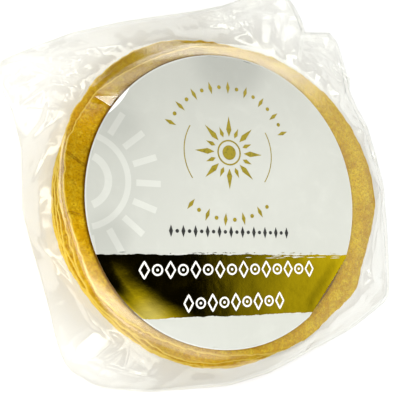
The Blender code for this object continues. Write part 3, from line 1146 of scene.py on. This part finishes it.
def kite(middle, turn, near, far, half, waist=0.0):
    """Outline of a four-cornered mark that runs from near to far in direction turn, widest at its waist."""
    along = np.array([math.cos(turn), math.sin(turn)])
    across = np.array([-along[1], along[0]])
    middle = np.array(middle)
    return [middle + along * near, middle + along * waist - across * half, middle + along * far,
            middle + along * waist + across * half]


def dot(place, radius, lift):
    """A small filled printed dot."""
    return patch(arc(place, radius, 0, 330, 12), lift)


def hoop(place, radius, width, lift):
    """A printed ring of that line width."""
    return stroke(arc(place, radius, 0, 350, 36), width, lift, closed=True)


EMBLEM_CENTRE = (-0.02 * LABEL_RADIUS, 0.3125 * LABEL_RADIUS)


def make_sun_emblem():
    """A plain gold sun: a ring, a middle disc and long and short tapering rays."""
    shapes = [patch(arc(EMBLEM_CENTRE, 3.4, 0, 345, 24), PRINT_LIFT),
              hoop(EMBLEM_CENTRE, 5.6, 0.75, PRINT_LIFT)]
    rays, root = 16, 7.4
    for k in range(rays):
        tip, half = (17.0, 1.35) if k % 2 == 0 else (12.5, 1.0)
        turn = 2 * math.pi * k / rays + math.pi / 2
        shapes.append(patch(kite(EMBLEM_CENTRE, turn, root, tip, half, mix(root, tip, 0.35)), PRINT_LIFT))
    return joined_piece("gold_sun_emblem", shapes, GOLD_INK)


def make_emblem_arcs():
    """The two thin gold arcs beside the emblem."""
    radius = 0.33 * LABEL_RADIUS
    shapes = [stroke(arc(EMBLEM_CENTRE, radius, start, end), 0.45, PRINT_LIFT)
              for start, end in ((150, 215), (-35, 30))]
    return joined_piece("gold_emblem_arcs", shapes, GOLD_INK)


def make_bead_arcs():
    """Gold beads and slender lozenges in two arcs above and below the emblem."""
    shapes = []
    for first, last, count in ((22, 158, 17), (232, 308, 10)):
        for k in range(count):
            turn = math.radians(mix(first, last, k / (count - 1)))
            place = np.array(EMBLEM_CENTRE) + 0.46 * LABEL_RADIUS * np.array([math.cos(turn), math.sin(turn)])
            if k % 2:
                shapes.append(dot(place, 0.95, PRINT_LIFT))
            else:
                shapes.append(patch(kite(place, turn, -3.0, 3.0, 0.95), PRINT_LIFT))
    return joined_piece("gold_bead_arcs", shapes, GOLD_INK)


def make_dot_row():
    """A row of small dark dots and dashes under the emblem."""
    shapes = []
    count, level = 21, -0.229 * LABEL_RADIUS
    for k in range(count):
        place = (mix(-0.445, 0.415, k / (count - 1)) * LABEL_RADIUS, level)
        if k % 2:
            shapes.append(dot(place, 0.85, PRINT_LIFT))
        else:
            shapes.append(patch(kite(place, math.pi / 2, -2.7, 2.7, 0.95), PRINT_LIFT))
    return joined_piece("dark_dot_row", shapes, DARK_INK)


ROW_STROKE = 0.8


def ornament_row(name, left, right, low, high, count):
    """White linked lozenges and rings in a row over the foil band, between shares of the label's radius."""
    shapes = []
    half_height = (high - low) / 2 * LABEL_RADIUS
    level = (high + low) / 2 * LABEL_RADIUS
    pitch = (right - left) * LABEL_RADIUS / count
    half = 0.36 * pitch
    for k in range(count):
        place = (left * LABEL_RADIUS + (k + 0.5) * pitch, level)
        if k % 2:
            shapes += [hoop(place, half, ROW_STROKE, INK_LIFT), dot(place, 0.6, INK_LIFT)]
        else:
            outline = kite(place, math.pi / 2, -half_height, half_height, half)
            shapes.append(stroke(outline, ROW_STROKE, INK_LIFT, closed=True, step=0.6))
    return joined_piece(name, shapes, WHITE_INK)


def make_pale_sunburst():
    """A large pale half sun printed off the label's left edge."""
    centre = np.array([-1.02, 0.07]) * LABEL_RADIUS
    strokes = []
    for radius, width in ((11.0, 3.2), (19.5, 2.6)):
        half = math.degrees(math.acos(4.5 / radius))
        strokes.append(stroke(arc(centre, radius, -half, half), width, PRINT_LIFT))
    for turn in np.radians(np.arange(-80, 81, 20)):
        along = np.array([math.cos(turn), math.sin(turn)])
        strokes.append(stroke([centre + along * 23.0, centre + along * 34.0], 2.8, PRINT_LIFT))
    shapes = [kept_inside(shape, 0.4, PRINT_LIFT) for shape in strokes]
    return joined_piece("pale_sunburst", shapes, PALE_PRINT)


# ------------------------------------------------------------------ floor, light and camera
def make_floor():
    """A plain pale floor, a little paler to the left: painted shade darkens it towards the right."""
    material, tree = new_material("pale_floor")
    cloud = use_group(tree, MOTTLE, Scale=3.0, Low=0.3, High=0.7)
    colour = blend_colour(tree, cloud, (0.98, 0.98, 0.98), (0.99, 0.99, 0.99))
    # painted shade: the floor darkens towards the right
    rightwards = use_group(tree, ACROSS, Start=-95.0 * MM, End=20.0 * MM)
    colour = tone_down(tree, rightwards, colour, (0.89, 0.89, 0.89))
    finish(tree, {"Base Color": colour}, {"Roughness": 0.9, "Specular IOR Level": 0.0})
    half = 3.0
    corners = [(-half, -half, 0), (half, -half, 0), (half, half, 0), (-half, half, 0)]
    mesh = bpy.data.meshes.new("floor")
    mesh.from_pydata(corners, [], [(0, 1, 2, 3)])
    mesh.materials.append(material)
    floor = bpy.data.objects.new("floor", mesh)
    bpy.context.scene.collection.objects.link(floor)


def world_box(tree, direction, towards, width, height, softness):
    """Mask of a soft-edged light box in the sky, of that half width and half height as slopes."""
    towards = Vector(towards).normalized()
    side = Vector((0, 0, 1)).cross(towards).normalized()
    depth = vector_maths(tree, "DOT_PRODUCT", direction, towards)
    mask = maths(tree, "GREATER_THAN", depth, 0.02)
    for axis, half in ((side, width), (towards.cross(side), height)):
        across = vector_maths(tree, "DOT_PRODUCT", direction, axis)
        slope = maths(tree, "ABSOLUTE", maths(tree, "DIVIDE", across, depth))
        inside = soft_change(tree, slope, half * (1.0 + softness), half * (1.0 - softness))
        mask = maths(tree, "MULTIPLY", mask, inside)
    return mask


# light boxes round the table, as (direction, half width, half height, edge softness, brightness)
LIGHT_BOXES = (
    ((0.0, -0.64, 0.77), 0.36, 0.4, 0.7, 2.0),
    ((-0.2, -0.46, 0.865), 0.2, 0.12, 0.4, 2.4),
    ((0.77, 0.08, 0.63), 0.5, 0.3, 0.7, 0.85),
    ((0.39, 0.66, 0.645), 0.32, 0.18, 0.42, 5.0),
    ((0.13, 0.5, 0.86), 0.13, 0.12, 0.8, 2.0),
    ((0.14, 0.9, 0.42), 0.68, 0.13, 0.35, 2.7),
    ((-0.55, -0.05, 0.84), 0.45, 0.22, 0.5, 2.2),
    ((-0.9, 0.1, 0.42), 0.42, 0.2, 0.4, 3.8),
)
# the sky's brightness overhead and round it, and the angles from straight up where it changes
SKY_DARK, SKY_PALE = 0.002, 0.13
SKY_CHANGE = (24.0, 28.5)
# soft lamps that the film does not mirror, as (name, place, width, power)
LAMPS = (
    ("front_right_lamp", (190.0, -190.0, 200.0), 120.0, 0.22),
    ("low_left_lamp", (-185.0, -90.0, 70.0), 100.0, 0.145),
)


def make_studio():
    """A dark ceiling, a pale surround and soft light boxes."""
    world = bpy.data.worlds.new("studio")
    bpy.context.scene.world = world
    world.use_nodes = True
    tree = world.node_tree
    tree.nodes.clear()
    direction = add_node(tree, "ShaderNodeTexCoord").outputs["Generated"]
    parts = add_node(tree, "ShaderNodeSeparateXYZ", {0: direction})
    start, end = (math.cos(math.radians(angle)) for angle in SKY_CHANGE)
    total = soft_change(tree, parts.outputs["Z"], start, end, SKY_DARK, SKY_PALE)
    for towards, width, height, softness, brightness in LIGHT_BOXES:
        mask = world_box(tree, direction, towards, width, height, softness)
        total = maths(tree, "ADD", total, maths(tree, "MULTIPLY", mask, brightness))
    sky = add_node(tree, "ShaderNodeBackground", {"Color": (1.0, 1.0, 1.0, 1.0), "Strength": total})
    add_node(tree, "ShaderNodeOutputWorld", {"Surface": sky.outputs["Background"]})


def make_lamp(name, place, width, power):
    """A soft square lamp close by, turned towards the pack."""
    light = bpy.data.lights.new(name, "AREA")
    light.shape = "SQUARE"
    light.size = width * MM
    light.energy = power
    lamp = bpy.data.objects.new(name, light)
    lamp.location = Vector(place) * MM
    lamp.rotation_euler = lamp.location.to_track_quat("Z", "Y").to_euler()
    lamp.visible_camera = False
    lamp.visible_glossy = False
    bpy.context.scene.collection.objects.link(lamp)


CAMERA_LENS = 50.07
CAMERA_PLACE = (-113.1, -33.3, 244.8)
CAMERA_RIGHT = (0.91779, -0.01145, 0.39691)
CAMERA_UP = (-0.041, 0.99151, 0.1234)


def make_camera():
    """The camera stands to the left and looks steeply down on the pack."""
    camera = bpy.data.objects.new("camera", bpy.data.cameras.new("camera"))
    bpy.context.scene.collection.objects.link(camera)
    camera.data.lens = CAMERA_LENS
    camera.data.sensor_width = 36.0
    right = Vector(CAMERA_RIGHT).normalized()
    back = right.cross(Vector(CAMERA_UP)).normalized()
    turn = Matrix((right, back.cross(right), back)).transposed().to_4x4()
    camera.matrix_world = Matrix.Translation(Vector(CAMERA_PLACE) * MM) @ turn
    bpy.context.scene.camera = camera
    bpy.context.scene.view_settings.view_transform = "Standard"


make_camera()
make_studio()
for lamp_settings in LAMPS:
    make_lamp(*lamp_settings)
make_floor()
for level in range(TORTILLA_COUNT):
    make_tortilla(level)
make_film()
make_label()
make_band("grey_tint_field", BAND_TOP, FIELD_END, TINT_LIFT, TINT, rows=90, margin=0.6)
make_band("grey_lower_field", -FIELD_END, BAND_BOTTOM, TINT_LIFT, TINT, rows=60, margin=0.6)
make_band_side_shade()
make_painted_glare()
make_band("foil_band", BAND_BOTTOM, BAND_TOP, PRINT_LIFT, FOIL, rows=70, margin=0.0)
make_brush_marks()
make_sun_emblem()
make_emblem_arcs()
make_bead_arcs()
make_dot_row()
ornament_row("white_upper_row", -0.667, 0.6375, -0.53, -0.425, 15)
ornament_row("white_lower_row", -0.37, 0.3875, -0.745, -0.6375, 9)
make_pale_sunburst()
